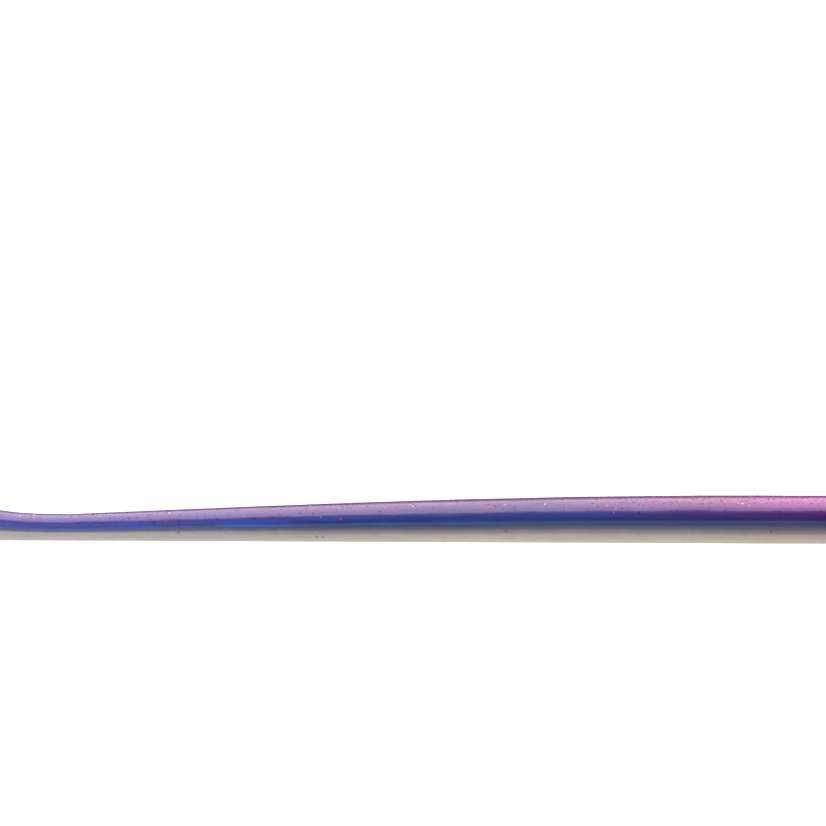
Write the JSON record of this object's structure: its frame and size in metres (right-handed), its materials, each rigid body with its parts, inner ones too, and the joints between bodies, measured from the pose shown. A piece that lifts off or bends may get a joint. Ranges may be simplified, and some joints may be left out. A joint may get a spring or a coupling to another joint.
{
  "type": "soft plastic worm",
  "caption": "Straight-tail soft plastic worm: tapered body, slim neck and bulb tail, clear violet flaked back, blue stripe and opaque flat belly, bending along its whole length.",
  "frame": {"origin": "on the resting surface, under the middle of the worm's length", "axes": "+X from tail to nose, +Y across the body, +Z from the flat belly to the back"},
  "size_m": [0.178, 0.009, 0.0085],
  "materials": {
    "violet_plastisol": "clear violet plastisol, glossy from the mould",
    "blue_plastisol": "blue tinted plastisol, glossy",
    "taupe_plastisol": "opaque taupe plastisol, satin",
    "red_flake": "red hexagonal glitter film",
    "black_flake": "black hexagonal glitter film"
  },
  "bodies": {
    "nose": {"back_1": "violet_plastisol", "stripe_1": "blue_plastisol", "belly_1": "taupe_plastisol", "red_flakes_1": "red_flake", "black_flakes_1": "black_flake"},
    "body_2": {"back_2": "violet_plastisol", "stripe_2": "blue_plastisol", "belly_2": "taupe_plastisol", "red_flakes_2": "red_flake", "black_flakes_2": "black_flake"},
    "body_3": {"back_3": "violet_plastisol", "stripe_3": "blue_plastisol", "belly_3": "taupe_plastisol", "red_flakes_3": "red_flake", "black_flakes_3": "black_flake"},
    "body_4": {"back_4": "violet_plastisol", "stripe_4": "blue_plastisol", "belly_4": "taupe_plastisol", "red_flakes_4": "red_flake", "black_flakes_4": "black_flake"},
    "body_5": {"back_5": "violet_plastisol", "stripe_5": "blue_plastisol", "belly_5": "taupe_plastisol", "red_flakes_5": "red_flake", "black_flakes_5": "black_flake"},
    "body_6": {"back_6": "violet_plastisol", "stripe_6": "blue_plastisol", "belly_6": "taupe_plastisol", "red_flakes_6": "red_flake", "black_flakes_6": "black_flake"},
    "body_7": {"back_7": "violet_plastisol", "stripe_7": "blue_plastisol", "belly_7": "taupe_plastisol", "red_flakes_7": "red_flake", "black_flakes_7": "black_flake"},
    "body_8": {"back_8": "violet_plastisol", "stripe_8": "blue_plastisol", "belly_8": "taupe_plastisol", "red_flakes_8": "red_flake", "black_flakes_8": "black_flake"},
    "tail": {"back_9": "violet_plastisol", "stripe_9": "blue_plastisol", "belly_9": "taupe_plastisol", "red_flakes_9": "red_flake", "black_flakes_9": "black_flake"}
  },
  "joints": [
    {"name": "lift_bend_4", "type": "hinge", "parent": "body_5", "child": "body_4", "pos_m": [0.00989, 0, 0.00355], "axis": [0, -1, 0], "range_deg": [-28, 28], "stiffness_Nm_per_rad": 0.000803},
    {"name": "side_bend_5", "type": "hinge", "parent": "body_5", "child": "body_6", "pos_m": [-0.00989, 0, 0.00324], "axis": [0, 0, 1], "range_deg": [-28, 28], "stiffness_Nm_per_rad": 0.000559},
    {"name": "side_bend_3", "type": "hinge", "parent": "body_4", "child": "body_3", "pos_m": [0.02967, 0, 0.00378], "axis": [0, 0, -1], "range_deg": [-28, 28], "stiffness_Nm_per_rad": 0.001026},
    {"name": "lift_bend_6", "type": "hinge", "parent": "body_6", "child": "body_7", "pos_m": [-0.02967, 0, 0.00287], "axis": [0, 1, 0], "range_deg": [-28, 28], "stiffness_Nm_per_rad": 0.000342},
    {"name": "lift_bend_2", "type": "hinge", "parent": "body_3", "child": "body_2", "pos_m": [0.04944, 0, 0.0039], "axis": [0, -1, 0], "range_deg": [-28, 28], "stiffness_Nm_per_rad": 0.001169},
    {"name": "side_bend_7", "type": "hinge", "parent": "body_7", "child": "body_8", "pos_m": [-0.04944, 0, 0.00245], "axis": [0, 0, 1], "range_deg": [-28, 28], "stiffness_Nm_per_rad": 0.000183},
    {"name": "side_bend_1", "type": "hinge", "parent": "body_2", "child": "nose", "pos_m": [0.06922, 0, 0.00393], "axis": [0, 0, -1], "range_deg": [-28, 28], "stiffness_Nm_per_rad": 0.0012},
    {"name": "lift_bend_8", "type": "hinge", "parent": "body_8", "child": "tail", "pos_m": [-0.06922, 0, 0.00222], "axis": [0, 1, 0], "range_deg": [-28, 28], "stiffness_Nm_per_rad": 0.000123}
  ]
}
